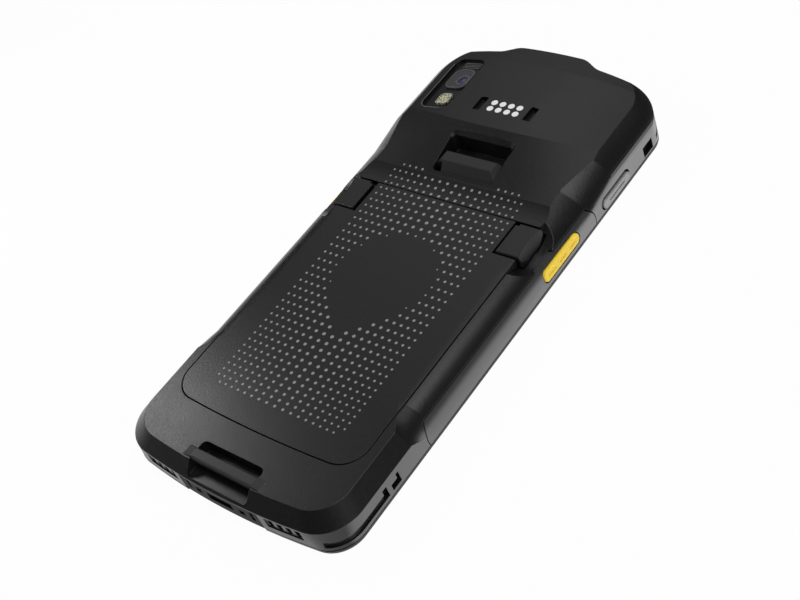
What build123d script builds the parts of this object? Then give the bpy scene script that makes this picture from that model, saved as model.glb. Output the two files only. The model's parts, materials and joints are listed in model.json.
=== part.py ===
from build123d import *
import os
from math import cos, radians, sin

# Portable barcode data terminal, millimetres.
# X across the back, Y toward the scanning end, Z out of the back. The front face is at Z 0.

# Overall sizes
WIDTH = 77.8
LENGTH = 164.6
DEPTH = 16.7
BACK_Z = 11.0             # flat lower back
HALF_W = WIDTH / 2
HIGH_END = LENGTH / 2
LOW_END = -HIGH_END
ALL = (-LENGTH, LENGTH)   # span wider than the casing in any direction
OUT = HALF_W + 4.0        # outside the right-hand side
TALL = DEPTH + 1.3        # above everything
BUMP = 2.2                # scanning end stands out this far in the middle
BUMP_FLAT = 11.7
BUMP_FOOT = 16.7
BUMP_BLEND = 6.0
END_BOW = 500.0           # ends are bowed by x * x / END_BOW
LOW_CORNER = 8.8
BEVEL_CORNER = 11.8       # the low corners get rounder toward the back
FLAT_CORNER = 10.0
HIGH_CORNER = 9.5

# Cross-sections along the back
LOW_BEVEL = 3.7
LOW_STOP = LOW_END + 33.3
GRIP_START = LOW_END + 41.3
GRIP_STOP = HIGH_END - 76.3
GRIP_ROUND = 8.6
SLOPE_Y = HIGH_END - 47.3     # section between the grips and the raised part
RAISED_START = HIGH_END - 34.3
# Curved upper sides: inset from the side and z of each pole
SLOPE_CURVE = ((0.0, 4.7), (0.0, 7.1), (4.3, 10.6), (8.1, 12.3))
RAISED_CURVE = ((0.0, 6.9), (0.0, 9.3), (3.6, DEPTH - 4.45), (7.0, DEPTH - 2.55))
CURVE_STEPS = 12
RING_TOP = HIGH_END + 7.1
RING_CORNER = 20.0
RAMP_START = HIGH_END - 59.7
RAMP_BLEND = 6.8
RAMP_RISE = 0.9
CREASE_Y = HIGH_END - 34.6
CREASE_LEAN = 4.0 / 3.5
CROWN_EDGE = DEPTH - 4.87 # height of the crown at the full width
FACET_Y = HIGH_END - 6.8
FACET_ANGLE = 3.0

# Shells
RIM = 0.8                 # front frame edge
SEAM = 0.2
WALL = 2.6
FLOOR_LOW = 3.6
FLOOR_HIGH = 5.2
ROOF = 2.0
BAY_X = HALF_W - 7.9
BAY_Y = (HIGH_END - 56.3, HIGH_END - 8.3)
BAY_FLAT_Z = 9.4
END_BAY_X = HALF_W - 9.4
END_BAY_Y = LOW_END + 16.3
END_BAY_Z = 6.6
SCAN_BAY_X = 10.5
SCAN_BAY_Y = HIGH_END - 2.7
SCAN_BAY_Z = (5.0, DEPTH - 3.2)
SCAN_WINDOW_X = 8.0
SCAN_WINDOW_Y = HIGH_END - 1.6
SCAN_WINDOW_Z = (6.8, DEPTH - 3.9)

# Display side
GLASS_EDGE = 3.4
GLASS_Z = 0.3
GLASS_T = 1.0
LEDGE_EDGE = 5.2
LEDGE_T = 1.1
PANEL_EDGE = 6.0
PANEL_Y = (LOW_END + 14.3, HIGH_END - 18.3)
EARPIECE_Y = HIGH_END - 12.3
CHASSIS_EDGE = 3.0

# Battery pack
PACK_X = HALF_W - 6.8
PACK_LOW_Y = LOW_END + 18.3
PACK_HIGH_Y = HIGH_END - 60.2
PACK_BOW = 1.2
PACK_CORNER = 7.5
PACK_GAP = 0.3
COVER_T = 1.4
TRAY_END = 0.3            # pack shell stops short of the cover edge at the top
TRAY_WALL = 0.8
CELL_X = PACK_X - 1.8
CELL_Y = (PACK_LOW_Y + 4.5, PACK_HIGH_Y - 13.7)
TAB_X = 15.0
TAB_W = 8.0
TAB_REACH = 1.5
TAB_Z = (6.5, 8.0)
TAB_ROOM = 0.6
PIN_X = (-6.0, -2.0, 2.0, 6.0)
TERMINAL_X = 9.0
TERMINAL_LONG = 4.9
TERMINAL_Z = (5.3, 8.3)
PIN_LONG = 0.5

# Latches
LATCH_Y = (PACK_HIGH_Y - 11.8, PACK_HIGH_Y - 0.4)
LATCH_IN = PACK_X - 6.7
LATCH_OUT = PACK_X + 1.3
LATCH_TOP = 11.45
LATCH_LOW = 7.7
LATCH_ROOM = 1.0
LATCH_GAP = 0.4
LATCH_ROUND = 0.6
LATCH_SOFT = 0.5
PAD_RADIUS = 13.0          # hollow finger side of the latch, wider toward its top
PAD_SPREAD = 1.3
LATCH_POCKET = LATCH_IN - 4.4
BOARD_BAY_X = LATCH_POCKET - 1.5
TONGUE = 1.8
FOOT_Z = 6.8
SPRING_WIRE = 0.35
SPRING_R = 0.85
SPRING_Y = PACK_HIGH_Y - 6.1
SPRING_Z = 8.0
RECESS_Y = (PACK_HIGH_Y - 17.7, PACK_HIGH_Y + 2.5)
RECESS_Z = 7.3
RECESS_TOP = 11.35
RECESS_LEAN = 0.08        # the finger scoop falls away to the side

# Straps
UP_POCKET_X = 10.7
UP_POCKET_Y = (CREASE_Y - 16.8, CREASE_Y - 3.9)
UP_POCKET_Z = 9.0
UP_LIP_Z = DEPTH - 2.2
UP_BAR_X = 8.8
UP_BAR_Y = (UP_POCKET_Y[0] + 3.2, UP_POCKET_Y[0] + 6.9)
UP_BAR_Z = (10.6, DEPTH - 2.5)
UP_ROOT_X = 11.7
UP_ROOT_Z = DEPTH - 4.3
UP_NOTCH = (2.7, 2.6)
LOW_SLOT_X = 10.9
LOW_SLOT_Y = LOW_END + 10.3
LOW_SLOT_Z = 7.2
LOW_RIM = 0.8
LOW_RIM_Z = 7.9
LOW_BAR_Y = (LOW_END + 4.5, LOW_END + 7.5)
LOW_BAR_Z = (9.4, 11.55)
LOW_BAR_X = 13.5
STRAP_CORNER = 1.5

# Side grips and keys
GRIP_Y = (LOW_END + 39.7, HIGH_END - 46.7)
GRIP_BOW = 1.2
GRIP_TOP = 7.2
GRIP_STEP = 3.8
GRIP_LEAN = 0.8
GRIP_GAP = 0.3
GRIP_SKIN = HALF_W - 1.7
GRIP_ROOT = HALF_W - 2.9
KEY_GAP = 0.3
# Each key and pocket: centre along, centre z, length, height
SCAN_KEY = (HIGH_END - 62.3, 4.2, 17.2, 3.6)
SCAN_POCKET = (SCAN_KEY[0], SCAN_KEY[1], SCAN_KEY[2] + 2 * KEY_GAP, SCAN_KEY[3] + 2 * KEY_GAP)
TALK_KEY = (HIGH_END - 34.1, 3.1, 13.8, 3.0)
TALK_POCKET = (HIGH_END - 34.3, 3.45, 14.8, 4.3)
POWER_KEY = (-21.0, 5.0, 8.0, 3.0)
POWER_POCKET = (POWER_KEY[0], POWER_KEY[1], POWER_KEY[2] + 2 * KEY_GAP, POWER_KEY[3] + 2 * KEY_GAP)
PILL = 0.46               # corner radius over height
SCAN_WEB = (6.0, 3.9, 5.6)    # half length, lower and upper z
SCAN_FLANGE = (7.6, 3.9, 5.8)
TALK_WEB = (5.0, 3.9, 4.5)
TALK_FLANGE = (6.6, 3.9, 5.1)
POWER_WEB = (2.4, 0.8)        # half length, half height
POWER_FLANGE = (3.7, 1.0)
KEY_BACK = HALF_W - 1.1
SCAN_KEY_FACE = HALF_W + 0.2
TALK_KEY_FACE = HALF_W + 0.4
KEY_FLANGE = (HALF_W - 4.0, HALF_W - 3.2)
KEY_WEB = HALF_W - 1.7
KEY_GROOVE = 0.25
SWITCH_X = (HALF_W - 5.4, HALF_W - 4.5)
SWITCH_SHIFT = 4.0
POWER_FACE = HIGH_END - 2.7
POWER_BACK = HIGH_END - 4.3
POWER_FLANGE_Y = (HIGH_END - 7.2, HIGH_END - 6.4)
POWER_SWITCH_Y = (HIGH_END - 10.3, HIGH_END - 7.7)

# Accessory slots on the sides: y and z ranges
SLOT_DEPTH = 1.8
HIGH_SLOT = ((HIGH_END - 18.8, HIGH_END - 13.9), (1.4, 4.9))
WEDGE_SLOT = ((HIGH_END - 11.3, 2.0), (HIGH_END - 7.8, 3.6), (HIGH_END - 7.8, 4.6), (HIGH_END - 11.3, 3.4))
LOW_SLOTS = (
    ((LOW_END + 23.2, LOW_END + 26.6), (2.0, 4.1)),
    ((LOW_END + 25.6, LOW_END + 26.6), (2.0, 5.6)),
    ((LOW_END + 20.1, LOW_END + 21.7), (2.0, 5.6)),
)
END_GROOVE = ((HALF_W - 5.9, OUT), (LOW_END - 2.0, LOW_END + 20.3), (2.0, 4.0))
GROOVE_DEPTH = 0.9

# Rear camera and contacts
CAM_RECESS_X = (-HALF_W + 8.7, -HALF_W + 20.0)
CAM_RECESS_Y = (HIGH_END - 30.2, HIGH_END - 7.7)
CAM_DEPTH = 1.0
CAM_CENTRE = (-HALF_W + 15.1, HIGH_END - 16.4)
CAM_WINDOW = (8.2, 9.0)
FLASH_CENTRE = (-HALF_W + 15.4, HIGH_END - 25.7)
FLASH_WINDOW = (4.7, 4.8)
WINDOW_SINK = 0.45
MODULE_TOP = 11.0
PAD_D = 2.05
PAD_X = (-4.45, -1.5, 1.5, 4.45)
PAD_Y = (HIGH_END - 27.6, HIGH_END - 25.0)
PAD_TOP = DEPTH + 0.02
BLOCK_X = 6.5
BLOCK_EDGE = 1.7
BLOCK_Z = (DEPTH - 3.9, DEPTH - 2.2)
SLOT_X = 8.9
SLOT_SIZE = (2.6, 5.6)
SLOT_SINK = 1.6

# Boards
BOARD_Z = (4.8, 5.8)
BOARD_X = BAY_X - 1.0
BOARD_Y = (BAY_Y[0] + 2.2, BAY_Y[1] - 2.0)
BOSS_INSET = 2.5
SHIELD_T = 1.7
SHIELD_Y = (BOARD_Y[0] + 1.4, BOARD_Y[0] + 17.9)
CARD_Y = (BOARD_Y[0] + 19.8, BOARD_Y[0] + 33.8)

# Low end
PANEL_X = HALF_W - 24.7
PANEL_Z = (0.3, 7.0)
PANEL_DEPTH = 2.7
PANEL_BACK = LOW_END + PANEL_DEPTH
USB_X = 4.4
USB_Y = (LOW_END + 1.1, LOW_END + 7.8)
USB_Z = (2.7, 5.3)
USB_SKIN = 0.35
PANEL_HOLES = ((0.81, 1.2, (2.5, 6.0)), (0.55, 2.0, (3.0, 4.8)))    # x over PANEL_X, width, z range
DOCK_X = [PANEL_X * place for place in (-0.845, -0.563, 0.155, 0.472, 0.845)]
DOCK_Z = (0.6, 1.9)
SPEAKER_X = [HALF_W - place for place in (21.2, 18.3, 15.4, 12.6)]
SPEAKER_SLOT = (1.6, 3.0)
SPEAKER_Z = 4.9
SPEAKER_FRAME = 1.4
SPEAKER_SINK = 0.3
MESH_MARGIN = 1.4
SCREW_X = PACK_X - 3.6
SCREW_Y = (PACK_LOW_Y + 9.0, PACK_HIGH_Y - 17.6)
SCREWS = [(x, y) for y in SCREW_Y for x in (-SCREW_X, SCREW_X)]
SCREW_R = 0.8
SCREW_HEAD_R = 1.6


def block(x, y, z):
    size = Box(x[1] - x[0], y[1] - y[0], z[1] - z[0])
    return Pos((x[0] + x[1]) / 2, (y[0] + y[1]) / 2, (z[0] + z[1]) / 2) * size


def both(shape):
    return shape + mirror(shape, Plane.YZ)


def prism(face, z0, z1):
    return extrude(Pos(0, 0, z0) * face, amount=z1 - z0, dir=(0, 0, 1))


def rounded(centre, size, radius, z0, z1):
    face = Pos(centre[0], centre[1]) * RectangleRounded(size[0], size[1], radius)
    return prism(face, z0, z1)


def side_pill(x, pill):
    y, z, length, height = pill
    face = Plane.YZ * Pos(y, z) * RectangleRounded(length, height, PILL * height)
    return extrude(Pos(x[0], 0, 0) * face, amount=x[1] - x[0], dir=(1, 0, 0))


def end_pill(y, pill):
    x, z, length, height = pill
    face = Plane.XZ * Pos(x, z) * RectangleRounded(length, height, PILL * min(length, height))
    return extrude(Pos(0, y[0], 0) * face, amount=y[1] - y[0], dir=(0, 1, 0))


def outline(inset=0.0, low_corner=None):
    side = HALF_W - inset
    low = LOW_END + inset
    high = HIGH_END - BUMP - inset
    bow = side ** 2 / END_BOW
    corners = [(-side, low + bow), (side, low + bow), (side, high - bow), (-side, high - bow)]
    edges = [
        ThreePointArc(corners[0], (0, low), corners[1]),
        Line(corners[1], corners[2]),
        ThreePointArc(corners[2], (0, high), corners[3]),
        Line(corners[3], corners[0]),
    ]
    face = Face(Wire(edges))
    points = face.vertices().sort_by(Axis.Y)
    face = face.fillet_2d(low_corner or LOW_CORNER - inset * 0.8, points[:2])
    points = face.vertices().sort_by(Axis.Y)
    return face.fillet_2d(HIGH_CORNER - inset * 0.8, points[-2:])


def plan_outline():
    """Outline with the scanning end's step blended in."""
    foot = HIGH_END - BUMP - BUMP_FOOT ** 2 / END_BOW
    inside = foot - BUMP_FOOT
    nose = Face(Wire.make_polygon([
        (-BUMP_FOOT, inside, 0),
        (BUMP_FOOT, inside, 0),
        (BUMP_FOOT, foot, 0),
        (BUMP_FLAT, HIGH_END, 0),
        (-BUMP_FLAT, HIGH_END, 0),
        (-BUMP_FOOT, foot, 0),
    ]))
    plan = (outline() + nose).face()
    turns = [v for v in plan.vertices() if abs(v.X) < BUMP_FOOT + 0.1 and v.Y > foot - 0.1]
    return plan.fillet_2d(BUMP_BLEND, turns)


def pack_outline(gap=0.0):
    side = PACK_X + gap
    low = PACK_LOW_Y - gap
    high = PACK_HIGH_Y + gap
    corners = [(-side, low + PACK_BOW), (side, low + PACK_BOW), (side, high), (-side, high)]
    edges = [
        ThreePointArc(corners[0], (0, low), corners[1]),
        Line(corners[1], corners[2]),
        Line(corners[2], corners[3]),
        Line(corners[3], corners[0]),
    ]
    face = Face(Wire(edges))
    points = face.vertices().sort_by(Axis.Y)
    return face.fillet_2d(PACK_CORNER + gap, points[:2])


def section(curve):
    """Cross-section of the casing from its right-hand upper curve, mirrored to the left."""
    y = (curve @ 0).Y
    foot = Vector(HALF_W, y, -1)
    top = Vector((curve @ 1).X, y, TALL)
    half = [Line(foot, curve @ 0), curve, Line(curve @ 1, top)]
    other = [edge.mirror(Plane.YZ) for edge in half]
    across = [Line((-foot.X, y, -1), foot), Line((-top.X, y, TALL), top)]
    return Face(Wire(half + other + across))


def low_section(y):
    return section(Line((HALF_W, y, BACK_Z - LOW_BEVEL), (HALF_W - LOW_BEVEL, y, BACK_Z)))


def grip_section(y):
    turn = GRIP_ROUND * (1 - cos(radians(45)))
    return section(ThreePointArc(
        (HALF_W, y, BACK_Z - GRIP_ROUND),
        (HALF_W - turn, y, BACK_Z - turn),
        (HALF_W - GRIP_ROUND, y, BACK_Z),
    ))


def curved_section(y, poles):
    return section(Bezier(*[(HALF_W - inset, y, z) for inset, z in poles]))


def ring(inset, z):
    side = HALF_W - inset
    top = RING_TOP - inset
    start = RAISED_START - 6
    face = Face(Wire.make_polygon([(-side, start, z), (side, start, z), (side, top, z), (-side, top, z)]))
    points = face.vertices().sort_by(Axis.Y)
    return face.fillet_2d(RING_CORNER - inset, points[-2:])


def raised_sides():
    curve = Bezier(*[(inset, 0, z) for inset, z in RAISED_CURVE])
    points = [curve @ (step / CURVE_STEPS) for step in range(CURVE_STEPS + 1)]
    body = prism(ring(0, 0), -1, points[0].Z)
    body += loft([ring(point.X, point.Z) for point in points], ruled=True)
    body += prism(ring(points[-1].X, 0), points[-1].Z, TALL)
    return body & block(ALL, (RAISED_START, LENGTH), (-2, TALL))


def side_walls():
    slope = curved_section(SLOPE_Y, SLOPE_CURVE)
    body = loft([low_section(LOW_STOP), grip_section(GRIP_START)], ruled=True)
    body += extrude(grip_section(GRIP_START), amount=GRIP_STOP - GRIP_START, dir=(0, 1, 0))
    body += loft([grip_section(GRIP_STOP), slope], ruled=True)
    body += loft([slope, curved_section(RAISED_START, RAISED_CURVE)], ruled=True)
    return body + raised_sides()


def crown_start():
    wide = HALF_W + 0.5
    edge_y = CREASE_Y + (DEPTH - CROWN_EDGE) * CREASE_LEAN
    foot = Vector(wide, CREASE_Y + (DEPTH + 2) * CREASE_LEAN, -2)
    edge = Vector(wide, edge_y, CROWN_EDGE)
    other_foot = Vector(-foot.X, foot.Y, foot.Z)
    other_edge = Vector(-edge.X, edge.Y, edge.Z)
    return Face(Wire([
        Line(foot, edge),
        ThreePointArc(edge, (0, CREASE_Y, DEPTH), other_edge),
        Line(other_edge, other_foot),
        Line(other_foot, foot),
    ]))


def ramp_start():
    """Flat lower back with the first, curved part of the ramp."""
    wide = HALF_W + 0.5
    low = LOW_STOP - 1
    stop = RAMP_START + RAMP_BLEND
    middle = (-wide, RAMP_START + RAMP_BLEND / 2, BACK_Z + RAMP_RISE / 4)
    points = [
        (-wide, stop, BACK_Z + RAMP_RISE),
        (-wide, stop, -2),
        (-wide, low, -2),
        (-wide, low, BACK_Z),
        (-wide, RAMP_START, BACK_Z),
    ]
    edges = [Line(points[index], points[index + 1]) for index in range(4)]
    side = Face(Wire(edges + [ThreePointArc(points[4], middle, points[0])]))
    return extrude(side, amount=2 * wide, dir=(1, 0, 0))


def roof():
    wide = HALF_W + 0.5
    stop = RAMP_START + RAMP_BLEND
    start = Face(Wire.make_polygon([
        (wide, stop, -2),
        (wide, stop, BACK_Z + RAMP_RISE),
        (-wide, stop, BACK_Z + RAMP_RISE),
        (-wide, stop, -2),
    ]))
    body = ramp_start() + loft([start, crown_start()], ruled=True)
    crown = extrude(crown_start(), amount=60, dir=(0, 1, 0))
    crown = crown & block(ALL, (0, FACET_Y), (-5, TALL))
    end = crown.faces().sort_by(Axis.Y)[-1]
    tilt = radians(FACET_ANGLE)
    facet = extrude(end, amount=14, dir=(0, cos(tilt), -sin(tilt)))
    return body + crown + facet


def envelope():
    """Outer shape of the whole casing."""
    rim = outline()
    edge = Pos(0, 0, BACK_Z - LOW_BEVEL) * outline(0, BEVEL_CORNER)
    flat = Pos(0, 0, BACK_Z) * outline(LOW_BEVEL, FLAT_CORNER)
    low = loft([rim, edge], ruled=True) + loft([edge, flat], ruled=True)
    low = low & block(ALL, (-LENGTH, LOW_STOP), (-1, TALL))
    high = prism(plan_outline(), 0, TALL) & block(ALL, (LOW_STOP, LENGTH), (0, TALL))
    return low + (high & side_walls() & roof())


BODY = envelope()


def layer(shape, upper, lower):
    """Part of a shape between two depths under the back surface of the casing."""
    return (shape & Pos(0, 0, -upper) * BODY) - Pos(0, 0, -lower) * BODY


def grip_shape(gap=0.0):
    """Right-hand grip rail, with bowed ends."""
    low, high = GRIP_Y[0] - gap, GRIP_Y[1] + gap
    middle = GRIP_TOP / 2
    top = GRIP_TOP + gap
    side = Face(Wire([
        Line((0, high, -1), (0, low, -1)),
        ThreePointArc((0, low, -1), (0, low - GRIP_BOW, middle), (0, low + GRIP_LEAN, top)),
        Line((0, low + GRIP_LEAN, top), (0, high - GRIP_LEAN, top)),
        ThreePointArc((0, high - GRIP_LEAN, top), (0, high + GRIP_BOW, middle), (0, high, -1)),
    ]))
    rail = extrude(Pos(GRIP_ROOT - 1, 0, 0) * side, amount=OUT - GRIP_ROOT + 1, dir=(1, 0, 0))
    low_part = block((GRIP_SKIN, OUT), ALL, (RIM + SEAM, GRIP_STEP))
    high_part = block((GRIP_ROOT, OUT), ALL, (GRIP_STEP, GRIP_TOP + gap))
    return rail & (low_part + high_part)


def recess_cut():
    """Finger scoop beside the right-hand latch, with room for the latch in it."""
    low, high = RECESS_Y
    points = [
        (PACK_X, high, RECESS_TOP),
        (PACK_X, high, TALL + 2),
        (PACK_X, low, TALL + 2),
        (PACK_X, low, RECESS_TOP),
    ]
    edges = [Line(points[index], points[index + 1]) for index in range(3)]
    floor = ThreePointArc(points[3], (PACK_X, (low + high) / 2, RECESS_Z), points[0])
    scoop = extrude(Face(Wire(edges + [floor])), amount=OUT - PACK_X, dir=(1, 0, -RECESS_LEAN))
    y = (LATCH_Y[0] - LATCH_GAP, LATCH_Y[1] + LATCH_GAP)
    return scoop + block((PACK_X, LATCH_OUT + LATCH_GAP), y, (LATCH_LOW - LATCH_GAP, TALL))


def around(centre, half, gap=0.0):
    return centre - half - gap, centre + half + gap


def scan_key_room():
    """Pocket, stem hole and chamber of the scan key, right-hand side."""
    y = SCAN_KEY[0]
    stem = (FLOOR_LOW, SCAN_WEB[2] + KEY_GAP)
    room = side_pill((KEY_WEB, OUT), SCAN_POCKET)
    room += block((GRIP_ROOT - 1, KEY_WEB), around(y, SCAN_WEB[0], KEY_GAP), stem)
    chamber = (FLOOR_LOW, SCAN_FLANGE[2] + KEY_GAP)
    return room + block((SWITCH_X[0], GRIP_ROOT), around(y, SCAN_FLANGE[0], 2 * KEY_GAP), chamber)


def talk_key_room():
    y = TALK_KEY[0]
    stem = (FLOOR_LOW, TALK_WEB[2] + KEY_GAP)
    room = side_pill((KEY_WEB, OUT), TALK_POCKET)
    room += block((GRIP_ROOT - 1, KEY_WEB), around(y, TALK_WEB[0], KEY_GAP), stem)
    chamber = (FLOOR_LOW, TALK_FLANGE[2] + KEY_GAP)
    return room + block((SWITCH_X[0], GRIP_ROOT), around(y, TALK_FLANGE[0], 2 * KEY_GAP), chamber)


def power_key_room():
    x, z = POWER_KEY[:2]
    hole = POWER_FLANGE_Y[1] + KEY_GAP
    room = end_pill((POWER_BACK - 2 * KEY_GAP, LENGTH), POWER_POCKET)
    stem = around(z, POWER_WEB[1], KEY_GAP)
    room += block(around(x, POWER_WEB[0], KEY_GAP + 0.1), (hole - 1, POWER_BACK), stem)
    chamber = around(z, POWER_FLANGE[1], KEY_GAP)
    y = (POWER_SWITCH_Y[1] - 1.6, hole)
    return room + block(around(x, POWER_FLANGE[0], KEY_GAP + 0.2), y, chamber)


def side_slots():
    """Accessory slots near both ends of the right-hand side."""
    depth = (HALF_W - SLOT_DEPTH, OUT)
    wedge = Face(Wire.make_polygon([(depth[0], y, z) for y, z in WEDGE_SLOT]))
    slots = block(depth, *HIGH_SLOT) + extrude(wedge, amount=OUT - depth[0], dir=(1, 0, 0))
    for y, z in LOW_SLOTS:
        slots += block(depth, y, z)
    low, high = END_GROOVE[2]
    groove = prism(outline(-1.5), low, high) - prism(outline(GROOVE_DEPTH), low, high)
    return slots + (groove & block(*END_GROOVE))


def camera_cuts():
    size = (CAM_RECESS_X[1] - CAM_RECESS_X[0], CAM_RECESS_Y[1] - CAM_RECESS_Y[0])
    centre = (sum(CAM_RECESS_X) / 2, sum(CAM_RECESS_Y) / 2)
    cut = layer(rounded(centre, size, 3.0, MODULE_TOP - 1, TALL), -1.0, CAM_DEPTH)
    cut += Pos(CAM_CENTRE[0], CAM_CENTRE[1], MODULE_TOP + 2) * Cylinder(3.1, 8)
    return cut + Pos(FLASH_CENTRE[0], FLASH_CENTRE[1], MODULE_TOP + 2) * Cylinder(1.9, 8)


def contact_cuts():
    middle = sum(PAD_Y) / 2
    cuts = [prism(Pos(x, y) * Circle(PAD_D / 2), BLOCK_Z[0], TALL) for x in PAD_X for y in PAD_Y]
    for x in (-SLOT_X, SLOT_X):
        cuts.append(rounded((x, middle + 0.2), SLOT_SIZE, 0.3, DEPTH - SLOT_SINK, TALL))
    return cuts


def upper_hollow(gap=0.0):
    low, high = UP_POCKET_Y
    size = (2 * (UP_POCKET_X - gap), high - low - 2 * gap)
    return rounded((0, (low + high) / 2), size, STRAP_CORNER, UP_POCKET_Z, TALL)


def upper_root():
    return block((-UP_ROOT_X, UP_ROOT_X), UP_BAR_Y, (UP_BAR_Z[0], UP_ROOT_Z))


def upper_pocket():
    """Strap pocket with a slanted upper lip and the seat of its bar."""
    low, high = UP_POCKET_Y
    mouth = Pos(0, (low + high) / 2) * RectangleRounded(2 * UP_POCKET_X, high - low, STRAP_CORNER)
    lip = extrude(Pos(0, 0, UP_LIP_Z) * mouth, amount=TALL - UP_LIP_Z, taper=-45)
    return upper_hollow() + lip + upper_root()


def lower_pocket():
    """Strap opening across the low end, behind a thin rim."""
    edge = LOW_END + LOW_RIM
    size = (2 * LOW_SLOT_X, LOW_SLOT_Y - edge)
    cut = rounded((0, (LOW_SLOT_Y + edge) / 2), size, STRAP_CORNER, LOW_SLOT_Z, TALL)
    x = (-LOW_SLOT_X + LOW_RIM, LOW_SLOT_X - LOW_RIM)
    cut += block(x, (-LENGTH, LOW_BAR_Y[0]), (LOW_RIM_Z, TALL))
    return cut + block((-LOW_BAR_X, LOW_BAR_X), LOW_BAR_Y, (LOW_BAR_Z[0], TALL))


def inner_space():
    """Everything hollowed out of the back shell apart from the battery well."""
    space = prism(outline(WALL), -1, FLOOR_LOW)
    step = CREASE_Y - 1
    flat = block((-BAY_X, BAY_X), (BAY_Y[0], step), (FLOOR_LOW - 1, BAY_FLAT_Z))
    raised = block((-BAY_X, BAY_X), (step, BAY_Y[1]), (FLOOR_LOW - 1, TALL))
    cup = block(around(0, UP_POCKET_X, 1.8), (UP_POCKET_Y[0] - 1.9, step + 0.8), (UP_POCKET_Z - 1.0, TALL))
    space += (flat + (raised & Pos(0, 0, -ROOF) * BODY)) - cup
    space += block((-SCAN_BAY_X, SCAN_BAY_X), (BAY_Y[1] - 1, SCAN_BAY_Y), SCAN_BAY_Z)
    low = prism(outline(WALL), FLOOR_LOW - 1, END_BAY_Z)
    return space + (low & block((-END_BAY_X, END_BAY_X), (-LENGTH, END_BAY_Y), ALL))


def panel_seat():
    return block((-PANEL_X, PANEL_X), (-LENGTH, PANEL_BACK), (-1, PANEL_Z[1]))


def speaker_slots():
    """Slots of both speakers and the sunken field round them."""
    frame = (SPEAKER_X[0] - SPEAKER_FRAME, SPEAKER_X[-1] + SPEAKER_FRAME)
    z = around(SPEAKER_Z, SPEAKER_SLOT[1] / 2, SPEAKER_SINK)
    field = prism(outline(-1.5), *z) - prism(outline(SPEAKER_SINK), *z)
    cuts = [both(field & block(frame, (-LENGTH, 0), z))]
    for x in SPEAKER_X:
        cuts.append(both(end_pill((LOW_END - 2, LOW_END + 6.2), (x, SPEAKER_Z, *SPEAKER_SLOT))))
    return cuts


def rear_housing():
    body = BODY & block(ALL, ALL, (RIM + SEAM, TALL))
    body -= inner_space()
    body -= prism(pack_outline(PACK_GAP), FLOOR_HIGH, TALL)
    body -= both(recess_cut())
    body -= both(grip_shape(GRIP_GAP))
    body -= both(scan_key_room())
    body -= both(talk_key_room())
    body -= power_key_room()
    body -= both(side_slots())
    body -= camera_cuts()
    body -= contact_cuts()
    body -= upper_pocket()
    body -= lower_pocket()
    body -= panel_seat()
    body -= speaker_slots()
    body -= both(tab_shape(TAB_ROOM, TAB_ROOM))
    body -= block((-TERMINAL_X, TERMINAL_X), (PACK_HIGH_Y - 2, PACK_HIGH_Y + TERMINAL_LONG), TERMINAL_Z)
    body -= block((-SCAN_WINDOW_X, SCAN_WINDOW_X), (SCAN_BAY_Y - 1, LENGTH), SCAN_WINDOW_Z)
    body -= block((-USB_X, USB_X), (-LENGTH, USB_Y[1] + 0.5), USB_Z)
    for x, y in SCREWS:
        body -= prism(Pos(x, y) * Circle(SCREW_R), 2.7, FLOOR_HIGH)
        body -= prism(Pos(x, y) * Circle(SCREW_HEAD_R), FLOOR_HIGH - 0.9, TALL)
    return body


def front_bezel():
    body = prism(outline(), 0, RIM)
    body += prism(outline(WALL + 0.2), RIM, GLASS_Z + GLASS_T + LEDGE_T)
    body -= prism(outline(GLASS_EDGE), -1, GLASS_Z + GLASS_T)
    body -= prism(outline(LEDGE_EDGE), -1, FLOOR_LOW)
    return body - panel_seat()


def shell_seal():
    body = prism(outline(0.6), RIM, RIM + SEAM) - prism(outline(2.0), 0, 2)
    return body - panel_seat()


def display_glass():
    return prism(outline(GLASS_EDGE + 0.1), GLASS_Z, GLASS_Z + GLASS_T)


def display_panel():
    z0 = GLASS_Z + GLASS_T
    return prism(outline(PANEL_EDGE), z0, z0 + LEDGE_T) & block(ALL, PANEL_Y, ALL)


def earpiece():
    z0 = GLASS_Z + GLASS_T
    return rounded((0, EARPIECE_Y), (14, 3.4), 1.6, z0, z0 + LEDGE_T)


def front_camera():
    z0 = GLASS_Z + GLASS_T
    return prism(Pos(-16, EARPIECE_Y) * Circle(2.6), z0, z0 + LEDGE_T)


def mid_chassis():
    z0 = GLASS_Z + GLASS_T + LEDGE_T
    body = prism(outline(CHASSIS_EDGE), z0, FLOOR_LOW) - panel_seat()
    for x in (-BOARD_X + BOSS_INSET, BOARD_X - BOSS_INSET):
        for y in (BOARD_Y[0] + BOSS_INSET, BOARD_Y[1] - BOSS_INSET):
            body += prism(Pos(x, y) * Circle(1.8), FLOOR_LOW, BOARD_Z[0])
    body -= block((-USB_X, USB_X), (-LENGTH, USB_Y[1] + 0.5), (USB_Z[0], BACK_Z))
    for x, y in SCREWS:
        body -= prism(Pos(x, y) * Circle(SCREW_R), 0, FLOOR_LOW + 1)
    return body


def main_board():
    body = block((-BOARD_X, BOARD_X), BOARD_Y, BOARD_Z)
    return fillet(body.edges().filter_by(Axis.Z), 2.0)


def shield(x, y):
    top = BOARD_Z[1] + SHIELD_T
    body = block(x, y, (BOARD_Z[1], top))
    inner = block((x[0] + 0.3, x[1] - 0.3), (y[0] + 0.3, y[1] - 0.3), (BOARD_Z[1], top - 0.3))
    return fillet(body.edges().filter_by(Axis.Z), 1.0) - inner


def card_socket():
    low = BOARD_Z[1]
    body = block((BOARD_X - 16.5, BOARD_X - 1.5), CARD_Y, (low, low + 1.6))
    return body - block((BOARD_X - 15.5, BOARD_X - 2.5), (CARD_Y[0] + 3, LENGTH), (low + 0.4, low + 1.2))


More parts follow.
